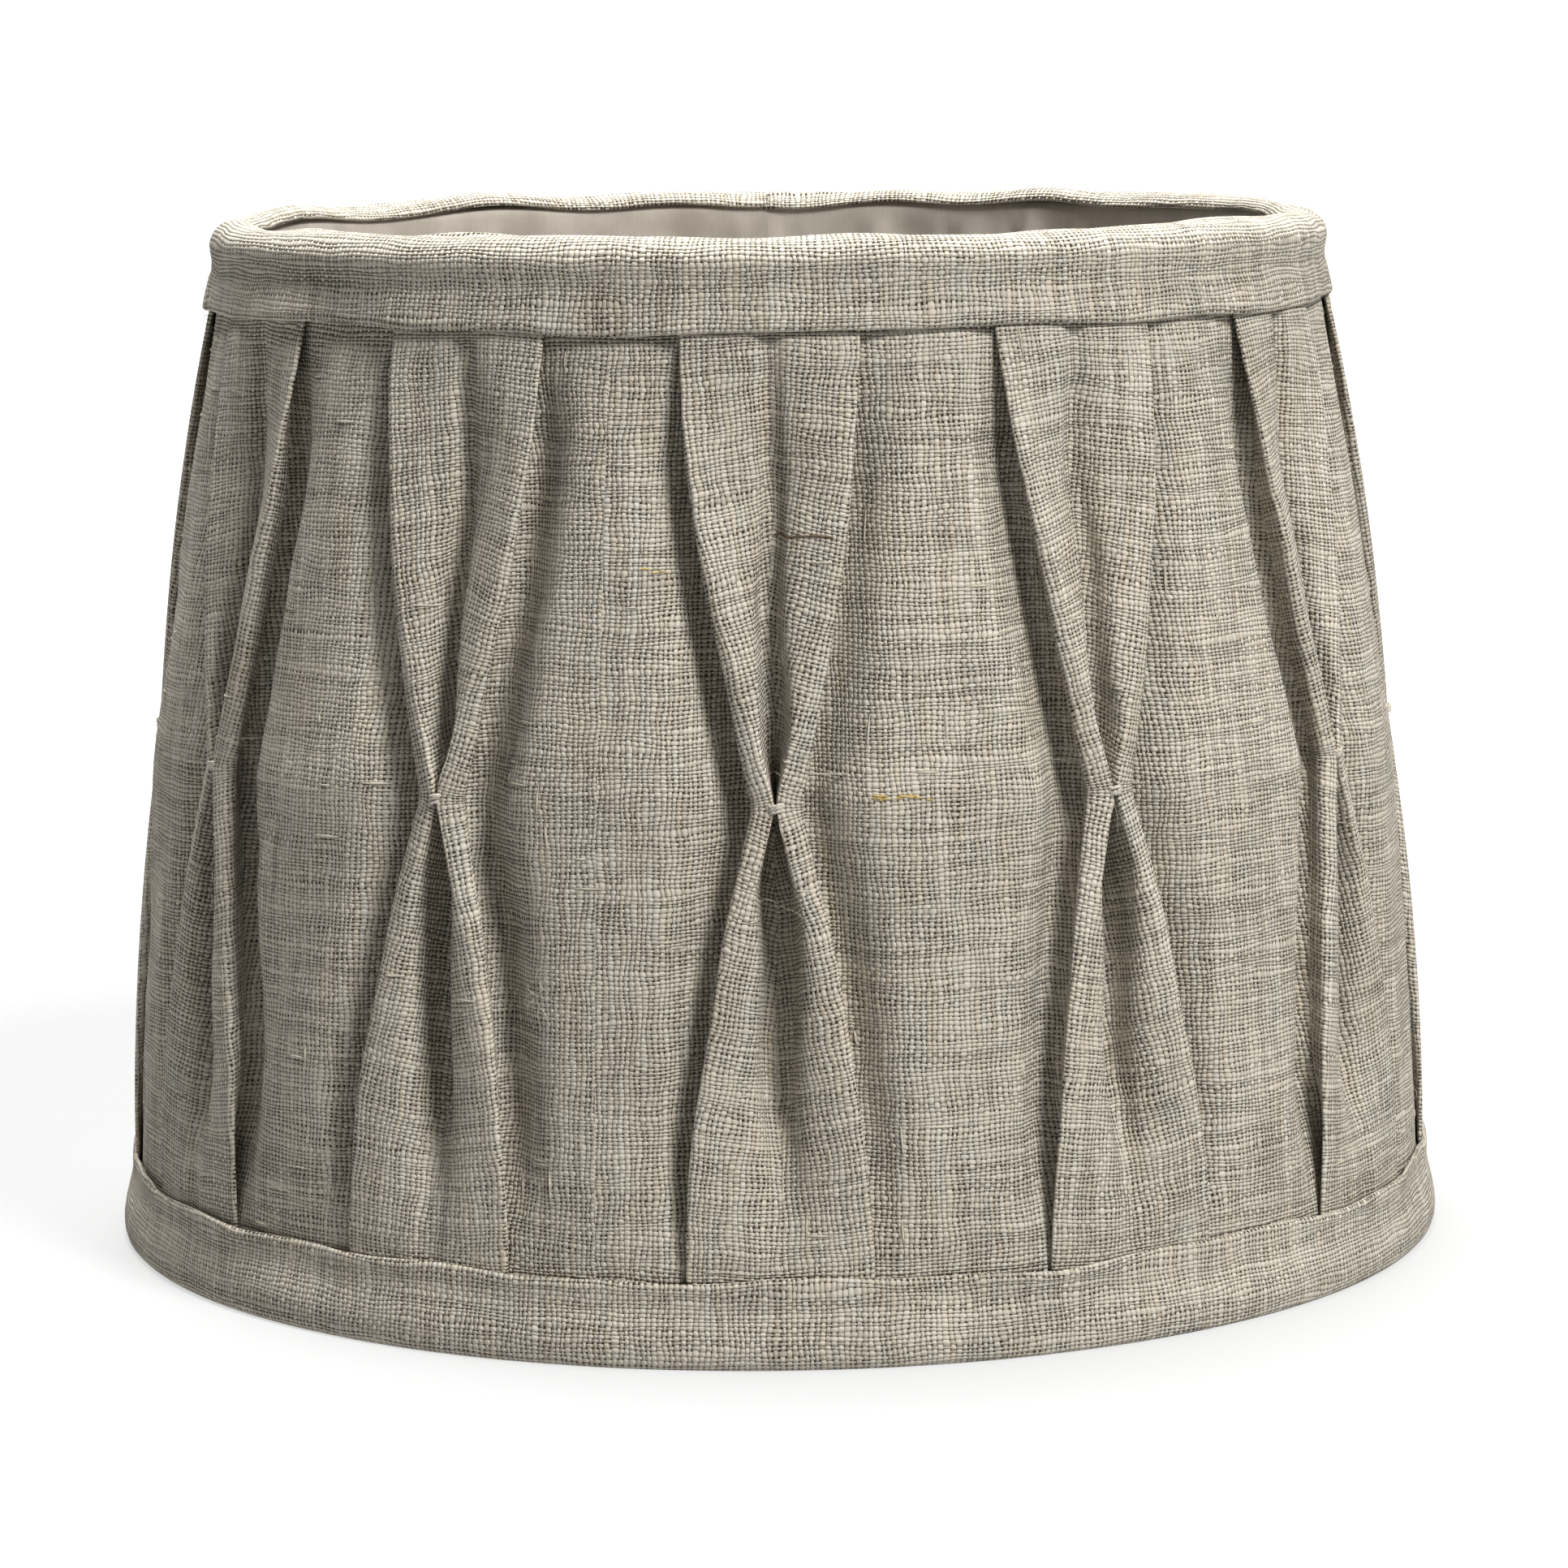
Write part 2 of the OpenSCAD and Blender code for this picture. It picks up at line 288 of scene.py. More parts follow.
def cover_grid(z):
    """The whole cover as angles and offsets, a row for each height, with each row's pinch."""
    rng = np.random.default_rng(31)
    p = pinch_share(z)
    half_pitch = np.pi * (cone_r(z) + 3 * MM) / PLEATS
    sides = [(Side(rng), Side(rng)) for _ in range(PLEATS)]
    ripples = Waves(rng, 0.34 * MM, 9 * MM, 40 * MM, 7)
    shifts = [Waves(rng, 0.55 * MM, 30 * MM, 110 * MM) for _ in range(PLEATS)]
    angles, offsets = [], []
    high = smooth((z - PINCH_Z) / (30 * MM) + 0.5)
    for k in range(PLEATS):
        middle = FRONT + 2 * np.pi * k / PLEATS
        around = 2 * k * half_pitch[:, None]
        dent = mix(HEM_FACE - 0.15 * MM, HEM_FACE - 0.55 * MM, high)
        deepest = mix(-1.5 * MM - 0.95 * lining_sag(z), -1.0 * MM, high)
        valley_y = mix(dent, deepest, smooth((p - mix(0.10, 0.0, high)) / 0.32))
        narrow = np.minimum(edge_half(z, p, sides[k][0])[0], edge_half(z, p, sides[k][1])[0])
        valley_x = np.clip(shifts[k](z) * 4 * p * (1 - p), -0.2 * narrow, 0.2 * narrow)
        parts = []
        for sign, side in zip((-1, 1), sides[k]):
            def panel_wave(x, sign=sign, around=around):
                return ripples(around + sign * x, 3 * z[:, None] / 10)
            x, y, crown = side_section(z, p, side, (sign * valley_x, valley_y),
                                       half_pitch, panel_wave)
            parts.append((sign * x, y))
        crown_y = crown + ripples(around - half_pitch[:, None], 3 * z[:, None] / 10)[:, 0] * (
            smooth(6 * p) * (0.35 + 0.65 * p))
        (xl, yl), (xr, yr) = parts
        x = np.concatenate([-half_pitch[:, None], xl[:, ::-1], valley_x[:, None], xr], 1)
        y = np.concatenate([crown_y[:, None], yl[:, ::-1], valley_y[:, None], yr], 1)
        angles.append(middle + x * (np.pi / PLEATS / half_pitch)[:, None])
        offsets.append(y)
    return np.concatenate(angles, 1), np.concatenate(offsets, 1), p


def soften(values, jump=0.0):
    """Rounds a closed row of points a little; jump is what the row gains in one turn."""
    before = np.roll(values, 1, 1)
    after = np.roll(values, -1, 1)
    before[:, 0] -= jump
    after[:, -1] += jump
    return (before + 4 * values + after) / 6


def cover_threads(points, z, p):
    """Thread coordinates of the cover at both columns of every span."""
    step = np.linalg.norm(np.roll(points, -1, 1) - points, axis=2)
    run = np.concatenate([np.zeros((len(z), 1)), np.cumsum(step, 1)], 1)
    height = z * LEAN
    usual = Side(np.random.default_rng(0))            # every edge leans about as this one does
    slope = np.gradient(edge_half(z, p, usual)[0], z)
    flat = mix(FACE_HALF_LOW, FACE_HALF_TOP, smooth((z - PINCH_Z) / (40 * MM) + 0.5))
    start = np.zeros(step.shape + (2,))
    end = np.zeros(step.shape + (2,))
    for k in range(PLEATS):
        first = k * WIDTH
        valley = first + SIDE_POINTS + 1
        for sign in (-1, 1):
            crease = valley + sign * (CREASE + 1)
            fold = valley + sign * (BACK_FOLD + 1)
            panel_middle = first if sign < 0 else first + WIDTH
            home = (k + 0.5 * sign) * PLEAT_CLOTH
            for j in range(first, valley) if sign < 0 else range(valley, first + WIDTH):
                on_face = j >= fold if sign < 0 else j < fold
                for uv, column in ((start, j), (end, j + 1)):
                    if on_face:
                        out = sign * (run[:, column] - run[:, crease])
                        uv[:, j, 0] = k * PLEAT_CLOTH + sign * (flat + out)
                        uv[:, j, 1] = height + slope * out
                    else:
                        uv[:, j, 0] = home + run[:, column] - run[:, panel_middle]
                        uv[:, j, 1] = height
    return start, end


def pleated_cover(material):
    """One strip of linen, box-pleated at the rings and pinched half-way; gives its points."""
    z = cover_heights()
    angle, offset, p = cover_grid(z)
    angle = soften(angle, 2 * np.pi)
    offset = soften(offset)
    points = polar(angle, cone_r(z)[:, None] + offset, z[:, None])
    start, end = cover_threads(points, z, p)
    obj = cloth_mesh("pleated_cover_cloth", points, start, end, closed=True)
    obj.data.materials.append(material)
    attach(obj, SHADE)
    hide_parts("pleated_cover")
    return points


# ---------------------------------------------------------------- bindings
LOW_ROLL, HIGH_ROLL = 4.3 * MM, 4.25 * MM         # radius of each binding round its wire
LAP = 12 * MM
BINDING_COLS = 300
# height of each binding's inner edge from the middle of its wire, towards the shade's middle
LOW_INNER, HIGH_INNER = 4.6 * MM, -2.1 * MM


def arc(radius, first, last, count):
    """Points on an arc, as (offset, height) with angles in degrees from straight out."""
    a = np.radians(np.linspace(first, last, count))
    return np.stack([radius * np.cos(a), -radius * np.sin(a)], 1)


def binding_profile(up, leg_h, inner_h):
    """A binding's section as (offset, height towards the shade's middle) from its wire."""
    roll = (LOW_ROLL if up > 0 else HIGH_ROLL) / MM
    leg = leg_h / MM
    turned = [(3.15, leg - 5.5), (3.15, leg - 3), (3.16, leg - 0.6)]
    edge = [(3.28, leg - 0.1), (3.62, leg), (3.87, leg - 0.35)]
    if up > 0:
        outer = [(3.80, leg - 1.2), (3.62, leg - 2.4), (3.54, leg - 3.8),
                 (3.64, leg - 5.4), (3.94, leg - 7.4), (4.20, leg - 9.4)]
    else:
        outer = [(3.86, leg - 1.2), (3.73, leg - 2.4), (3.60, leg - 3.8), (3.50, leg - 5.2),
                 (3.24, leg - 6.6), (3.46, leg - 8.4), (4.02, leg - 10.2)]
    crest = arc(roll, 0, 180, 13)
    if up > 0:
        # the lower roll is squarer outside, where the cloth drops straight past the wire
        square = roll * (np.abs(crest[:, 0]) / roll) ** 0.45
        crest[:, 0] = np.where(crest[:, 0] > 0, square, crest[:, 0])
    inner = [(-3.55, 0.9), (-3.3, inner_h / MM * 0.6 + 0.6), (-3.2, inner_h / MM)]
    if inner_h <= 0:
        keep = 180 + math.degrees(inner_h / MM / roll)
        crest = arc(roll, 0, keep, 12)
        inner = []
    return np.array(turned + edge + outer + [tuple(c) for c in crest] + inner) * MM


def binding_points(rng, profile, ring_at, run, up, leg_h, inner_h):
    """A binding's points: its section all round the ring, uneven, raised where it laps."""
    ring_r, ring_z = ring_at
    around = 2 * np.pi * ring_r
    angle = BACK + run / ring_r
    wave = Waves(rng, 0.22 * MM, 35 * MM, 160 * MM, 6)
    edge_wave = Waves(rng, 0.30 * MM, 30 * MM, 140 * MM, 6)
    crest_wave = Waves(rng, 0.26 * MM, 50 * MM, 150 * MM, 4)
    inner_wave = Waves(rng, 0.40 * MM, 30 * MM, 110 * MM, 6)
    out = profile[:, 0][:, None]
    high = profile[:, 1][:, None]
    leg = smooth(high / leg_h) * (out > 0)
    from_pleat = np.abs(np.angle(np.exp(1j * PLEATS * (angle - FRONT))))
    over_pleat = smooth((2.4 - from_pleat) / 0.6)
    lap = 0.62 * MM * smooth((run - around + 1.5 * MM) / (3 * MM))
    normal = np.gradient(profile, axis=0)
    normal = np.stack([normal[:, 1], -normal[:, 0]], 1) * (1 if up > 0 else -1)
    normal /= np.linalg.norm(normal, axis=1)[:, None]
    y = out + leg * ((0.60 * over_pleat - 0.28) * MM + wave(run)) - normal[:, :1] * lap
    h = high + leg * edge_wave(run) * (high > 0.8 * leg_h) - normal[:, 1:] * lap
    crest = smooth(-high / HIGH_ROLL) if up < 0 else 0 * high
    h = h - crest * crest_wave(run)
    inner_edge = smooth(1 - (high - inner_h) / (2.5 * MM)) * (out < 0)
    h = h + inner_edge * inner_wave(run)
    y = y - inner_edge * 0.25 * inner_wave(run)
    z = ring_z + up * h
    if up > 0:
        z = np.maximum(z, CLOTH_T / 2)
    return polar(angle[None], cone_r(z) + y, z)


def binding(name, node, ring_at, up, inner_h, seed, material):
    """A strip folded round one ring, its end lapped over its start."""
    rng = np.random.default_rng(seed)
    leg_h = (BOTTOM_EDGE - LOW_Z) if up > 0 else (HIGH_Z - TOP_EDGE)
    profile = binding_profile(up, leg_h, inner_h)
    if up > 0:
        profile = profile[::-1]
    around = 2 * np.pi * ring_at[0]
    run = np.linspace(0, around + LAP, BINDING_COLS)
    points = binding_points(rng, profile, ring_at, run, up, leg_h, inner_h)
    along = np.concatenate([[0], np.cumsum(np.linalg.norm(np.diff(profile, axis=0), axis=1))])
    uv = np.stack(np.broadcast_arrays(run[None] + seed * 0.37, along[:, None]), -1)
    obj = cloth_mesh(name, points, uv[:, :-1], uv[:, 1:], closed=False)
    obj.data.materials.append(material)
    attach(obj, SHADE)
    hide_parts(node)
    node.split("_")[0] + "_ring"


# ---------------------------------------------------------------- lining
LINING_OUT = -2.15 * MM
LINING_T = 0.3 * MM
LINING_COLS = 288
LINING_SEAMS = ((-8, 0.03), (34, -0.05), (54, 0.04), (150, 0.0), (238, 0.03))   # degrees, lean


def lining_path():
    """The lining's section: up the frame, over the upper wire's inside and under the binding."""
    rise = np.linspace(LOW_Z, HIGH_Z - 5 * MM, 34)
    path = [(LINING_OUT, z) for z in rise]
    path += [(LINING_OUT - 0.3 * MM, HIGH_Z - 3.2 * MM)]
    path += [(LINING_OUT - 0.8 * MM, HIGH_Z - 1.6 * MM)]
    tuck = np.radians([178, 166, 153, 140, 127])
    path += [(3.2 * MM * math.cos(a), HIGH_Z + 3.2 * MM * math.sin(a)) for a in tuck]
    return np.array(path)


def lining(material):
    """A cotton cone with soft creases, which only ever stand inwards from the frame."""
    rng = np.random.default_rng(7)
    path = lining_path()
    angle = BACK + np.linspace(0, 2 * np.pi, LINING_COLS, endpoint=False)
    z = path[:, 1][:, None]
    run = angle[None] * LOW_R
    span = smooth((z - LOW_Z) / (16 * MM)) * smooth((HIGH_Z - z) / (5 * MM))
    soft = Waves(rng, 0.85 * MM, 14 * MM, 60 * MM, 7)
    fine = Waves(rng, 0.16 * MM, 5 * MM, 14 * MM, 6)
    crease = np.abs(soft(run, z)) + np.abs(fine(run, 0.4 * z))
    y = path[:, 0][:, None] - lining_sag(z) - span * crease
    below_tuck = smooth((HIGH_Z + 3 * MM - z) / (4 * MM))
    for at, lean in LINING_SEAMS:
        centre = BACK - math.radians(at) + lean * (z - HIGH_Z) / LOW_R * 10
        away = np.angle(np.exp(1j * (angle[None] - centre))) * cone_r(z)
        y = y - 0.45 * MM * np.exp(-((away / (1.1 * MM)) ** 2)) * below_tuck
    points = polar(angle[None], cone_r(z) + y, z)
    up = np.concatenate([[0], np.cumsum(np.linalg.norm(np.diff(path, axis=0), axis=1))])
    edge = np.append(angle, angle[0] + 2 * np.pi) * LOW_R
    uv = np.stack(np.broadcast_arrays(edge[None], up[:, None]), -1)
    obj = cloth_mesh("lining_cloth", points, uv[:, :-1], uv[:, 1:], closed=True)
    obj.modifiers["thickness"].thickness = LINING_T
    obj.data.materials.append(material)
    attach(obj, SHADE)
    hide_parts("lining")


# ---------------------------------------------------------------- thread tacks


def tube(points, radius, sides=6):
    """Vertices and faces of a round tube along points, closed at its ends."""
    points = np.asarray(points, float)
    count = len(points)
    radius = np.broadcast_to(radius, count)
    tangent = np.gradient(points, axis=0)
    tangent /= np.linalg.norm(tangent, axis=1)[:, None]
    across = np.cross(tangent, [0.31, 0.17, 0.93])
    across /= np.linalg.norm(across, axis=1)[:, None]
    other = np.cross(tangent, across)
    turn = np.linspace(0, 2 * np.pi, sides, endpoint=False)
    loops = np.cos(turn)[None, :, None] * across[:, None]
    loops = loops + np.sin(turn)[None, :, None] * other[:, None]
    loops = points[:, None] + radius[:, None, None] * loops
    faces = [(i * sides + j, i * sides + (j + 1) % sides,
              (i + 1) * sides + (j + 1) % sides, (i + 1) * sides + j)
             for i in range(count - 1) for j in range(sides)]
    faces += [tuple(range(sides))[::-1], tuple((count - 1) * sides + j for j in range(sides))]
    return loops.reshape(-1, 3), faces


def tube_object(name, tubes, material):
    """One mesh object from several tubes."""
    points, faces, base = [], [], 0
    for verts, quads in tubes:
        points.append(verts)
        faces += [tuple(base + i for i in f) for f in quads]
        base += len(verts)
    mesh = bpy.data.meshes.new(name)
    mesh.from_pydata(np.concatenate(points).tolist(), [], faces)
    mesh.polygons.foreach_set("use_smooth", np.ones(len(mesh.polygons), bool))
    mesh.materials.append(material)
    obj = bpy.data.objects.new(name, mesh)
    bpy.context.scene.collection.objects.link(obj)
    return obj


def thread_strand(rng, k, low, high):
    """One stitch across the two edges: its two plies, twisted round each other."""
    t = np.linspace(0, 1, 22)
    reach = (1.40 + rng.uniform(-0.15, 0.2)) * MM
    x = mix(-reach, reach, t)
    rise = mix(low, high, t) + 0.15 * MM * np.sin(np.pi * t) * rng.uniform(-1, 1)
    out = TACK_OUT + 0.12 * MM - 2.0 * MM * np.abs(2 * t - 1) ** 3.2
    middle = FRONT + 2 * np.pi * k / PLEATS
    r = cone_r(PINCH_Z) + out
    plies = []
    for turn in (0, np.pi):
        twist = turn + 2 * np.pi * 1.8 * t
        pr = r + 0.15 * MM * np.cos(twist)
        pz = PINCH_Z + rise + 0.15 * MM * np.sin(twist)
        plies.append(tube(polar(middle + x / r, pr, pz), 0.19 * MM))
    return plies


def pinch_tacks(material):
    """At each pinch, four stitches over the two edges, one of them across the others."""
    rng = np.random.default_rng(19)
    for k in range(PLEATS):
        tubes = []
        for low, high in ((-0.75, -0.35), (-0.3, 0.25), (0.15, 0.7), (-0.6, 0.55)):
            shake = rng.uniform(-0.12, 0.12, 2)
            tubes += thread_strand(rng, k, (low + shake[0]) * MM, (high + shake[1]) * MM)
        obj = tube_object(f"tack_stitches_{k + 1:02d}", tubes, material)
        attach(obj, SHADE)
        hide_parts(f"pinch_tack_{k + 1:02d}")


# ---------------------------------------------------------------- slubs and loose fibres


def on_cover(points, row, col):
    """Points of the cover at fractional rows and columns: (place, normal, along, up)."""
    rows, cols = points.shape[:2]
    row = np.clip(row, 0, rows - 1.001)

    def at(r, c):
        r0, c0 = np.floor(r).astype(int), np.floor(c).astype(int)
        fr, fc = (r - r0)[..., None], (c - c0)[..., None]
        low = mix(points[r0, c0 % cols], points[r0, (c0 + 1) % cols], fc)
        high = mix(points[r0 + 1, c0 % cols], points[r0 + 1, (c0 + 1) % cols], fc)
        return mix(low, high, fr)

    along = at(row, col + 0.4) - at(row, col - 0.4)
    up = at(np.minimum(row + 0.4, rows - 1.001), col) - at(np.maximum(row - 0.4, 0), col)
    normal = np.cross(along, up)
    normal /= np.linalg.norm(normal, axis=-1)[..., None]
    return at(row, col), normal, along / np.linalg.norm(along, axis=-1)[..., None], up


def open_column(rng):
    """A random column of the cover that can be seen: on a panel or on a face's flank."""
    first = WIDTH * rng.integers(0, PLEATS)
    spot = rng.uniform(0, 1)
    if spot < 0.36:
        return first + rng.uniform(0.2, 7.5)
    if spot < 0.72:
        return first + WIDTH - rng.uniform(0.2, 7.5)
    flank = rng.uniform(0.6, len(FLANK) + 0.4)
    sign = rng.choice((-1, 1))
    return first + SIDE_POINTS + 1 + sign * (CREASE - flank)


def slub(points, row, col, length, thick, upright):
    """A swelling of one thread: a low lump that follows the cloth along or up it."""
    s = np.linspace(-0.5, 0.5, 9)
    _, _, _, up = on_cover(points, np.array([row]), np.array([col]))
    if upright:
        rise = np.linalg.norm(up[0]) / 0.8
        place, normal, _, _ = on_cover(points, row + s * length / rise, np.full(9, col))
    else:
        ends = np.array([col - 0.5, col + 0.5])
        beside, _, _, _ = on_cover(points, np.array([row, row]), ends)
        step = np.linalg.norm(beside[1] - beside[0])
        place, normal, _, _ = on_cover(points, np.full(9, row), col + s * length / step)
    swell = np.cos(np.pi * s) ** 0.8 + 0.12
    return tube(place + normal * (CLOTH_T / 2 + 0.02 * MM), thick * swell, 6)


def slubs(points, material):
    """Thick places in the linen's threads, more of them along the strip than up it."""
    rng = np.random.default_rng(41)
    tubes = []
    for _ in range(420):
        row, col = rng.uniform(3, COVER_ROWS - 4), open_column(rng)
        length = rng.uniform(1.6, 6.5) * MM
        thick = rng.uniform(0.13, 0.24) * MM
        tubes.append(slub(points, row, col, length, thick, rng.uniform(0, 1) < 0.3))
    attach(tube_object("linen_slubs", tubes, material), SHADE)


def fibre(rng, points, row, col, length, thick):
    """One loose fibre that leaves the cloth, curls above it and comes back near it."""
    s = np.linspace(0, 1, 12)
    place, normal, along, up = on_cover(points, np.array([row]), np.array([col]))
    up = up / np.linalg.norm(up)
    turn = rng.uniform(0, 2 * np.pi) + np.cumsum(rng.normal(0, 0.28, 12))
    step = length / 11 * (np.cos(turn)[:, None] * along + np.sin(turn)[:, None] * up)
    flat = np.cumsum(step, 0)
    lift = CLOTH_T / 2 + rng.uniform(0.15, 0.8) * MM * np.sin(np.pi * s**0.7) ** 1.3
    return tube(place + flat + normal * lift[:, None], thick * (1.1 - 0.6 * s), 4)


def fibres(points, material):
    """Loose fibres all over the linen, and a small tuft of them on one panel."""
    rng = np.random.default_rng(43)
    tubes = []
    for _ in range(620):
        row, col = rng.uniform(2, COVER_ROWS - 3), open_column(rng)
        tubes.append(fibre(rng, points, row, col, rng.uniform(1.5, 7) * MM, 0.035 * MM))
    for _ in range(16):
        row, col = 0.30 * COVER_ROWS + rng.normal(0, 0.3), rng.normal(-3.5, 0.3)
        tubes.append(fibre(rng, points, row, col, rng.uniform(2.5, 6) * MM, 0.06 * MM))
    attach(tube_object("stray_fibres", tubes, material), SHADE)


def shives(points, material):
    """A few straw-coloured bits of stem, spun into neighbouring threads of one panel."""
    rng = np.random.default_rng(47)
    tubes = []
    # share of the cover's rows, column, how many
    clusters = ((0.51, 53.6, 16), (0.72, 4.0, 4), (0.36, 300.0, 6), (0.6, 520.0, 5))
    for centre_row, centre_col, count in clusters:
        for _ in range(count):
            row = centre_row * COVER_ROWS + rng.normal(0, 0.2)
            col = centre_col + rng.normal(0, 0.9)
            tubes.append(slub(points, row, col, rng.uniform(0.7, 1.8) * MM,
                              rng.uniform(0.14, 0.22) * MM, False))
    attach(tube_object("straw_shives", tubes, material), SHADE)


def dark_wefts(points, material):
    """A few darker, finer wefts that show as lines across a face or a panel."""
    rng = np.random.default_rng(53)
    heights = cover_heights()
    valley = SIDE_POINTS + 1
    # pleat, height, first column, last column, radius; the first crosses the front pleat's face
    lines = [(0, 140.6, valley + 0.6, valley + CREASE - 0.3, 0.20)]
    for _ in range(9):
        start = rng.uniform(-7, 2)
        end = start + rng.uniform(1.5, 4)
        lines.append((rng.integers(0, PLEATS), rng.uniform(30, 165), start, end, 0.11))
    tubes = []
    for pleat, height, start, end, radius in lines:
        col = pleat * WIDTH + np.linspace(start, end, 40)
        row = np.interp(height * MM, heights, np.arange(COVER_ROWS)) + 0.04 * np.sin(col * 1.3)
        place, normal, _, _ = on_cover(points, row, col)
        tubes.append(tube(place + normal * (CLOTH_T / 2 + 0.02 * MM), radius * MM, 6))
    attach(tube_object("dark_wefts", tubes, material), SHADE)


# ---------------------------------------------------------------- materials


class Graph:
    """A material's node tree, built with short calls. Values are sockets or numbers."""

    def __init__(self, name):
        self.material = bpy.data.materials.new(name)
        self.material.use_nodes = True
        self.tree = self.material.node_tree
        self.shader = self.tree.nodes["Principled BSDF"]

    def node(self, kind, inputs=(), out=0, **settings):
        """One output of a new node, with its inputs fed and its settings made."""
        made = self.tree.nodes.new(kind)
        for key, value in settings.items():
            setattr(made, key, value)
        for key, value in dict(inputs).items():
            self.feed(made.inputs[key], value)
        return made.outputs[out]

    def feed(self, socket, value):
        """Links a socket to an input, or sets the input's own value."""
        if isinstance(value, bpy.types.NodeSocket):
            self.tree.links.new(value, socket)
        else:
            socket.default_value = value

    def math(self, op, *values, clamp=False):
        """A math node's output."""
        return self.node("ShaderNodeMath", dict(enumerate(values)), operation=op, use_clamp=clamp)

    def ramp(self, value, low, high, to_low=0.0, to_high=1.0):
        """value from low..high to to_low..to_high, smoothly and held at the ends."""
        return self.node("ShaderNodeMapRange",
                         {0: value, 1: low, 2: high, 3: to_low, 4: to_high},
                         interpolation_type="SMOOTHSTEP")

    def mix(self, share, a, b, blend="MIX"):
        """A mix of two colours."""
        made = self.tree.nodes.new("ShaderNodeMix")
        made.data_type = "RGBA"
        made.blend_type = blend
        self.feed(made.inputs[0], share)
        self.feed(made.inputs[6], a)
        self.feed(made.inputs[7], b)
        return made.outputs[2]

    def vector(self, x, y, z=0.0):
        """A vector of three values."""
        return self.node("ShaderNodeCombineXYZ", {0: x, 1: y, 2: z})

    def noise(self, x, y, z=0.0, detail=1.0):
        """Smooth noise from 0 to 1, about 0.5, at the point given."""
        return self.node("ShaderNodeTexNoise",
                         {"Vector": self.vector(x, y, z), "Scale": 1.0, "Detail": detail})

    def random(self, value, seed):
        """A fixed random number for each whole value."""
        return self.node("ShaderNodeTexWhiteNoise", {"W": self.math("ADD", value, seed)},
                         noise_dimensions="1D")

    def split(self, vector):
        """The x and y of a vector."""
        made = self.tree.nodes.new("ShaderNodeSeparateXYZ")
        self.feed(made.inputs[0], vector)
        return made.outputs[0], made.outputs[1]

    def uv(self):
        """The cloth's thread coordinates, in metres."""
        return self.split(self.node("ShaderNodeUVMap", uv_map="weave"))


PINHOLE = -0.9                                    # height of the cloth's pinholes, in the weave


def sign_of(g, whole):
    """1 for an even number and -1 for an odd one."""
    odd = g.math("FLOORED_MODULO", whole, 2.0)
    return g.math("MULTIPLY_ADD", odd, -2.0, 1.0)


def thread_set(g, across, along, seed):
    """One set of parallel threads: (index, rise of its round top, tone, 1 on the thread)."""
    whole = g.math("FLOOR", across)
    off = g.math("SUBTRACT", g.math("SUBTRACT", across, whole), 0.5)
    lane = g.math("MULTIPLY", whole, 3.713)
    slub = g.noise(lane, g.math("MULTIPLY", along, 0.045), seed)
    grain = g.noise(lane, g.math("MULTIPLY", along, 0.33), seed + 5.0)
    half = g.ramp(slub, 0.30, 0.75, 0.31, 0.50)
    half = g.math("ADD", half, g.ramp(grain, 0.3, 0.7, -0.05, 0.05))
    ratio = g.math("DIVIDE", off, half)
    fall = g.math("SUBTRACT", 1.0, g.math("MULTIPLY", ratio, ratio))
    round_top = g.math("SQRT", g.math("MAXIMUM", fall, 0.0))
    inside = g.math("LESS_THAN", g.math("ABSOLUTE", off), half)
    own = g.random(whole, seed)
    tone = g.ramp(own, 0.0, 1.0, -0.10, 0.10)
    tone = g.math("ADD", tone, g.ramp(slub, 0.3, 0.75, -0.09, 0.14))
    return whole, round_top, tone, inside


def thread_height(g, whole, along, round_top, inside, swing):
    """A thread's height as it passes over and under the others; a pinhole is far below."""
    beat = g.math("SINE", g.math("MULTIPLY", along, math.pi))
    over = g.math("MULTIPLY", sign_of(g, whole), beat)
    height = g.math("MULTIPLY_ADD", over, swing, g.math("MULTIPLY", round_top, 0.6))
    above = g.math("MULTIPLY", g.math("SUBTRACT", height, PINHOLE), inside)
    return g.math("ADD", above, PINHOLE)


def choose(g, first, a, b):
    """a where first is 1, b where it is 0."""
    return g.math("ADD", g.math("MULTIPLY", first, g.math("SUBTRACT", a, b)), b)


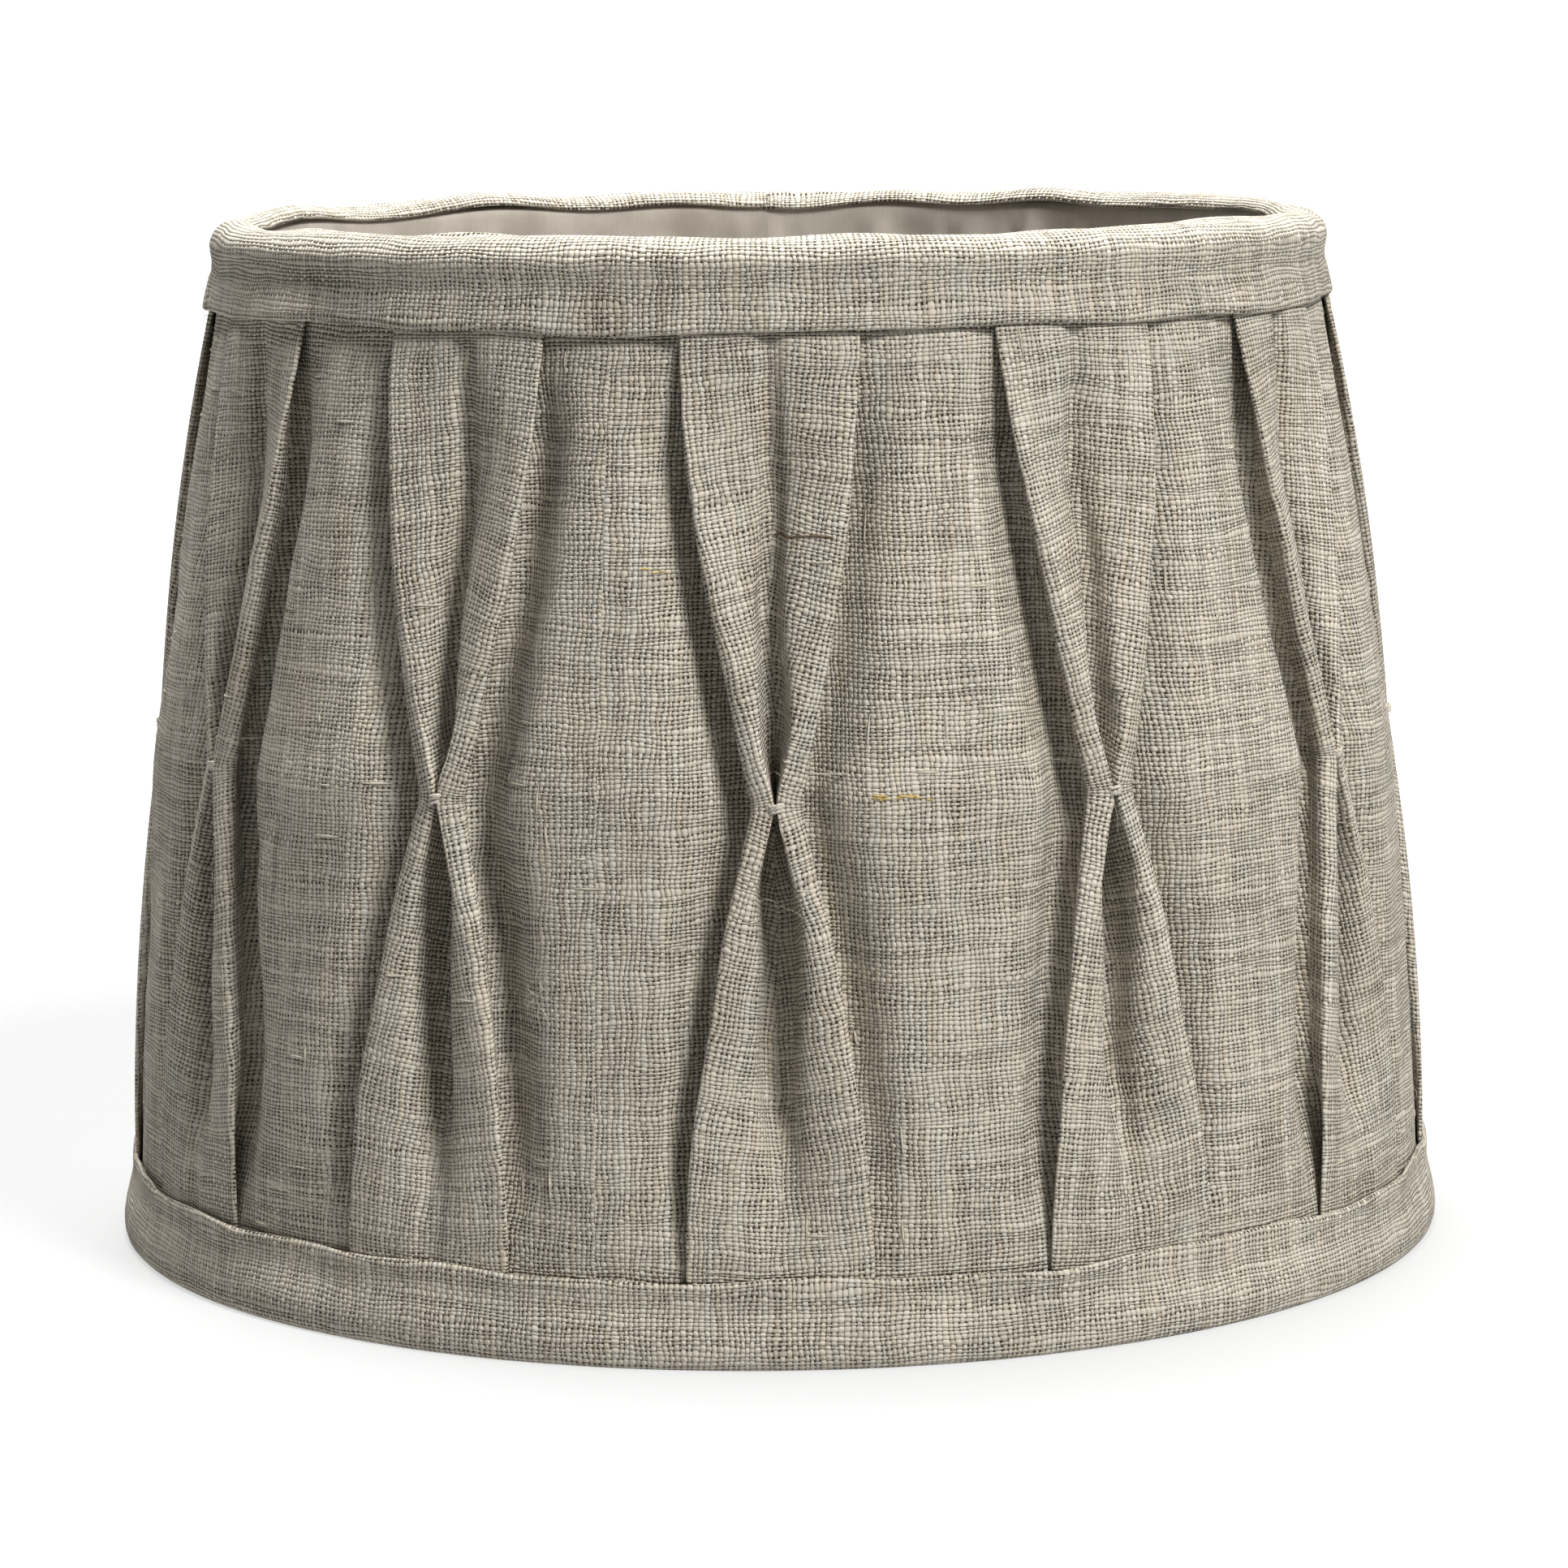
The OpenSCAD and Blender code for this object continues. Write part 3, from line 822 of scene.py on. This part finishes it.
def weave(g):
    """A plain weave of uneven threads: (surface height, tone, (warp and weft count))."""
    # counted in threads, from well below zero, and wandering by up to one thread
    u, v = g.uv()
    cross = g.math("MULTIPLY_ADD", u, 1 / WARP_PITCH, 400.0)
    high = g.math("MULTIPLY_ADD", v, 1 / WEFT_PITCH, 40.0)
    drift_u = g.noise(g.math("MULTIPLY", cross, 0.21), g.math("MULTIPLY", high, 0.10), 3.1)
    drift_v = g.noise(g.math("MULTIPLY", cross, 0.07), g.math("MULTIPLY", high, 0.23), 8.4)
    cross = g.math("ADD", cross, g.ramp(drift_u, 0.0, 1.0, -0.66, 0.66))
    high = g.math("ADD", high, g.ramp(drift_v, 0.0, 1.0, -0.88, 0.88))
    i, warp_top, warp_tone, warp_in = thread_set(g, cross, high, 11.0)
    j, weft_top, weft_tone, weft_in = thread_set(g, high, cross, 47.0)
    warp_h = thread_height(g, i, high, warp_top, warp_in, 0.5)
    weft_h = thread_height(g, j, cross, weft_top, weft_in, -0.5)
    height = g.math("MAXIMUM", warp_h, weft_h)
    on_warp = g.math("GREATER_THAN", warp_h, weft_h)
    fibre_warp = g.noise(g.math("MULTIPLY", cross, 5.5), g.math("MULTIPLY", high, 0.8), 2.0)
    fibre_weft = g.noise(g.math("MULTIPLY", cross, 0.8), g.math("MULTIPLY", high, 5.5), 6.0)
    fibre = choose(g, on_warp, fibre_warp, fibre_weft)
    tone = choose(g, on_warp, warp_tone, weft_tone)
    tone = g.math("ADD", tone, g.ramp(fibre, 0.25, 0.75, -0.10, 0.10))
    return height, tone, (cross, high)


def linen():
    """Natural greige linen: slubby threads, pinholes between them, dry and matt; its colour holds
    painted shade, darker where the weave lies low and darkest in the pinholes.
    """
    g = Graph("linen_weave")
    height, tone, (cross, high) = weave(g)
    cloud = g.noise(g.math("MULTIPLY", cross, 0.05), g.math("MULTIPLY", high, 0.05), 1.0, 3.0)
    weft, warp = g.math("FLOOR", high), g.math("FLOOR", cross)
    bars = g.noise(g.math("MULTIPLY", cross, 0.012), g.math("MULTIPLY", weft, 0.61), 4.0)
    stripes = g.noise(g.math("MULTIPLY", warp, 0.61), g.math("MULTIPLY", high, 0.012), 9.0)
    # painted shade: the weave's height sets the colour, from dark in the pinholes and low places
    # up to the pale thread tops
    light = g.ramp(height, -0.28, 0.80, 0.0, 1.0)
    tone = g.math("ADD", tone, g.ramp(cloud, 0.25, 0.75, -0.07, 0.07))
    tone = g.math("ADD", tone, g.ramp(bars, 0.25, 0.75, -0.05, 0.05))
    tone = g.math("ADD", tone, g.ramp(stripes, 0.25, 0.75, -0.02, 0.02))
    level = g.math("MULTIPLY", light, g.math("ADD", tone, 1.0))
    warm = g.noise(g.math("MULTIPLY", warp, 0.9), g.math("MULTIPLY", high, 0.03), 13.0)
    pale = g.mix(g.ramp(warm, 0.3, 0.72), (0.600, 0.568, 0.499, 1), (0.586, 0.532, 0.443, 1))
    # the colour of the painted shade in the pinholes and low places of the weave
    painted_pinhole_shade = (0.052, 0.036, 0.020, 1)
    colour = g.mix(g.math("MULTIPLY", level, 0.93, clamp=True), painted_pinhole_shade, pale)
    g.feed(g.shader.inputs["Base Color"], colour)
    g.feed(g.shader.inputs["Roughness"], 0.88)
    g.feed(g.shader.inputs["Specular IOR Level"], 0.25)
    g.feed(g.shader.inputs["Sheen Weight"], 0.05)
    g.feed(g.shader.inputs["Sheen Roughness"], 0.5)
    bump = g.node("ShaderNodeBump", {"Strength": 1.0, "Distance": 0.00036, "Height": height})
    g.feed(g.shader.inputs["Normal"], bump)
    return g.material


def loose_linen(name, low, high):
    """Linen fibre on its own, in two tones."""
    g = Graph(name)
    place = g.node("ShaderNodeNewGeometry", out=0)
    grain = g.node("ShaderNodeTexNoise", {"Vector": place, "Scale": 900.0, "Detail": 2.0})
    g.feed(g.shader.inputs["Base Color"], g.mix(g.ramp(grain, 0.3, 0.7), low, high))
    g.feed(g.shader.inputs["Roughness"], 0.8)
    g.feed(g.shader.inputs["Specular IOR Level"], 0.3)
    bump = g.node("ShaderNodeBump", {"Strength": 0.4, "Distance": 0.0001, "Height": grain})
    g.feed(g.shader.inputs["Normal"], bump)
    return g.material


def cotton():
    """Off-white lining cotton: a fine weave, slightly yellowed, with soft clouds of painted shade
    like the shading of creases and a little painted shade in the weave's low places.
    """
    g = Graph("lining_cotton")
    u, v = g.uv()
    pitch = 0.36 * MM
    cross = g.math("MULTIPLY", u, 1 / pitch)
    high = g.math("MULTIPLY", v, 1 / pitch)
    wave_u = g.math("SINE", g.math("MULTIPLY", cross, 2 * math.pi))
    wave_v = g.math("SINE", g.math("MULTIPLY", high, 2 * math.pi))
    height = g.math("MULTIPLY_ADD", wave_u, wave_v, 1.0)
    streak = g.noise(g.math("MULTIPLY", cross, 0.9), g.math("MULTIPLY", high, 0.02), 2.0)
    cloud = g.noise(g.math("MULTIPLY", u, 60.0), g.math("MULTIPLY", v, 60.0), 5.0, 3.0)
    tone = g.ramp(streak, 0.25, 0.75, -0.10, 0.10)
    # painted shade: soft clouds that darken and lighten the cotton like the shading of creases,
    # and the weave's low places a little darker
    tone = g.math("ADD", tone, g.ramp(cloud, 0.3, 0.7, -0.35, 0.35))
    tone = g.math("ADD", tone, g.ramp(height, 0.0, 2.0, -0.04, 0.04))
    share = g.math("ADD", tone, 0.5, clamp=True)
    colour = g.mix(share, (0.450, 0.406, 0.354, 1), (0.650, 0.605, 0.542, 1))
    g.feed(g.shader.inputs["Base Color"], colour)
    g.feed(g.shader.inputs["Roughness"], 0.9)
    g.feed(g.shader.inputs["Sheen Weight"], 0.4)
    bump = g.node("ShaderNodeBump", {"Strength": 0.3, "Distance": 0.0001, "Height": height})
    g.feed(g.shader.inputs["Normal"], bump)
    return g.material


def thread():
    """Pale sewing thread, a little lustrous, with fine fibres along it."""
    g = Graph("sewing_thread")
    place = g.node("ShaderNodeNewGeometry", out=0)
    grain = g.node("ShaderNodeTexNoise", {"Vector": place, "Scale": 3500.0, "Detail": 2.0})
    colour = g.mix(g.ramp(grain, 0.3, 0.7), (0.420, 0.385, 0.325, 1), (0.640, 0.600, 0.520, 1))
    g.feed(g.shader.inputs["Base Color"], colour)
    g.feed(g.shader.inputs["Roughness"], 0.6)
    g.feed(g.shader.inputs["Sheen Weight"], 0.15)
    bump = g.node("ShaderNodeBump", {"Strength": 0.4, "Distance": 0.00008, "Height": grain})
    g.feed(g.shader.inputs["Normal"], bump)
    return g.material


def powder_coat():
    """White powder coat on steel: a fine orange peel, with faint grey handling marks."""
    g = Graph("white_powder_coat")
    place = g.node("ShaderNodeNewGeometry", out=0)
    peel = g.node("ShaderNodeTexNoise", {"Vector": place, "Scale": 900.0, "Detail": 2.0})
    marks = g.node("ShaderNodeTexNoise", {"Vector": place, "Scale": 60.0, "Detail": 4.0})
    colour = g.mix(g.ramp(marks, 0.35, 0.75), (0.830, 0.830, 0.810, 1), (0.740, 0.735, 0.710, 1))
    g.feed(g.shader.inputs["Base Color"], colour)
    g.feed(g.shader.inputs["Roughness"], g.ramp(marks, 0.3, 0.7, 0.32, 0.48))
    g.feed(g.shader.inputs["Specular IOR Level"], 0.5)
    bump = g.node("ShaderNodeBump", {"Strength": 0.25, "Distance": 0.0001, "Height": peel})
    g.feed(g.shader.inputs["Normal"], bump)
    return g.material


def moulded_plastic():
    """White moulded plastic with a fine satin spark finish."""
    g = Graph("white_moulded_plastic")
    place = g.node("ShaderNodeNewGeometry", out=0)
    spark = g.node("ShaderNodeTexNoise", {"Vector": place, "Scale": 2600.0, "Detail": 1.0})
    cloud = g.node("ShaderNodeTexNoise", {"Vector": place, "Scale": 45.0, "Detail": 3.0})
    colour = g.mix(g.ramp(cloud, 0.3, 0.7), (0.870, 0.865, 0.840, 1), (0.820, 0.812, 0.780, 1))
    g.feed(g.shader.inputs["Base Color"], colour)
    g.feed(g.shader.inputs["Roughness"], g.ramp(spark, 0.3, 0.7, 0.34, 0.5))
    g.feed(g.shader.inputs["IOR"], 1.49)
    bump = g.node("ShaderNodeBump", {"Strength": 0.2, "Distance": 0.00005, "Height": spark})
    g.feed(g.shader.inputs["Normal"], bump)
    return g.material


def floor_paper():
    """Matt pale paper, which glows like a lit backdrop, less near the shade and in front."""
    g = Graph("floor_paper")
    place = g.node("ShaderNodeNewGeometry", out=0)
    cloud = g.node("ShaderNodeTexNoise", {"Vector": place, "Scale": 6.0, "Detail": 3.0})
    away = g.node("ShaderNodeVectorMath", {0: place}, out=1, operation="LENGTH")
    colour = g.mix(cloud, (0.135, 0.135, 0.133, 1), (0.145, 0.145, 0.145, 1))
    g.feed(g.shader.inputs["Base Color"], colour)
    g.feed(g.shader.inputs["Roughness"], 0.9)
    g.feed(g.shader.inputs["Emission Color"], (1, 1, 1, 1))
    front = g.ramp(g.split(place)[1], -0.62, -0.26, 0.25, 1.0)
    glow = g.math("MULTIPLY", g.ramp(away, 0.25, 0.60, 0.66, 0.95), front)
    g.feed(g.shader.inputs["Emission Strength"], glow)
    return g.material


# ---------------------------------------------------------------- stage


def camera():
    """The photographer's view: just above the rim, from the front, about a metre away."""
    data = bpy.data.cameras.new("camera")
    data.sensor_width = 36
    data.lens = 121.58
    obj = bpy.data.objects.new("camera", data)
    bpy.context.scene.collection.objects.link(obj)
    pitch, yaw, roll = 0.1501, math.radians(0.1), 0.0119      # down, to the right, and askew
    turn = Matrix.Rotation(-yaw, 4, "Z") @ Matrix.Rotation(math.pi / 2 - pitch, 4, "X")
    turn = turn @ Matrix.Rotation(-roll, 4, "Z")
    obj.matrix_world = Matrix.Translation((0, -0.99925, 0.2331)) @ turn
    bpy.context.scene.camera = obj


def area_light(name, place, size, energy, target=(0, 0, 0.1)):
    """A square soft light, turned to the shade."""
    data = bpy.data.lights.new(name, "AREA")
    data.size = size
    data.energy = energy
    obj = bpy.data.objects.new(name, data)
    obj.location = place
    obj.rotation_euler = (Vector(target) - Vector(place)).to_track_quat("-Z", "Y").to_euler()
    bpy.context.scene.collection.objects.link(obj)


def lights():
    """A soft key on the right, one overhead, a weak fill from the left and a dim room."""
    away = 3.4
    across, up = math.radians(41), math.radians(48)
    aim = (math.sin(across) * math.cos(up), -math.cos(across) * math.cos(up), math.sin(up))
    area_light("key", [away * a for a in aim], 0.85, 128)
    area_light("overhead", (-0.1, 0.25, 2.2), 0.7, 74)
    area_light("fill", (-1.5, -1.2, 0.5), 1.2, 0.6)
    world = bpy.data.worlds.new("room")
    bpy.context.scene.world = world
    world.use_nodes = True
    background = world.node_tree.nodes["Background"]
    background.inputs["Color"].default_value = (1.0, 1.0, 1.0, 1)
    background.inputs["Strength"].default_value = 0.05
    bpy.context.scene.view_settings.view_transform = "Standard"
    bpy.context.scene.view_settings.gamma = 0.8


def floor():
    """A wide sheet of pale paper, turned up into a curve far behind."""
    mesh = bpy.data.meshes.new("floor")
    half, back = 4.0, 3.5
    rows = [(-half, 0), (back - 1, 0)]
    bend = np.radians([15, 30, 45, 60, 75, 90])
    rows += [(back - 1 + math.sin(a), 1 - math.cos(a)) for a in bend]
    rows += [(back, 4.5)]
    points = [(x, y, z) for y, z in rows for x in (-half, half)]
    faces = [(2 * i, 2 * i + 1, 2 * i + 3, 2 * i + 2) for i in range(len(rows) - 1)]
    mesh.from_pydata(points, [], faces)
    mesh.polygons.foreach_set("use_smooth", np.ones(len(faces), bool))
    mesh.materials.append(floor_paper())
    obj = bpy.data.objects.new("floor", mesh)
    bpy.context.scene.collection.objects.link(obj)


def refinish(material, *nodes):
    """Gives carried-over CAD nodes their finish."""
    for name in nodes:
        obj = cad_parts[name]
        obj.data.materials.clear()
        obj.data.materials.append(material)


def main():
    """Builds the stage, then the cloth and thread, and finishes the wires and the plastic."""
    camera()
    lights()
    floor()
    cloth = linen()
    cover = pleated_cover(cloth)
    slubs(cover, loose_linen("linen_slub", (0.44, 0.40, 0.33, 1), (0.60, 0.56, 0.48, 1)))
    fibres(cover, loose_linen("linen_fibre", (0.50, 0.46, 0.38, 1), (0.72, 0.68, 0.60, 1)))
    shives(cover, loose_linen("linen_shive", (0.42, 0.32, 0.13, 1), (0.58, 0.47, 0.24, 1)))
    dark = loose_linen("linen_dark_weft", (0.13, 0.095, 0.055, 1), (0.22, 0.17, 0.11, 1))
    dark_wefts(cover, dark)
    binding("bottom_binding_cloth", "bottom_binding", (LOW_R, LOW_Z), 1, LOW_INNER, 3, cloth)
    binding("top_binding_cloth", "top_binding", (HIGH_R, HIGH_Z), -1, HIGH_INNER, 5, cloth)
    lining(cotton())
    pinch_tacks(thread())
    steel = ("bottom_ring", "top_ring", "strut", "carrier")
    wires = [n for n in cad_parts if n.startswith(steel)]
    refinish(powder_coat(), *wires)
    refinish(moulded_plastic(), "reducer_ring")


main()
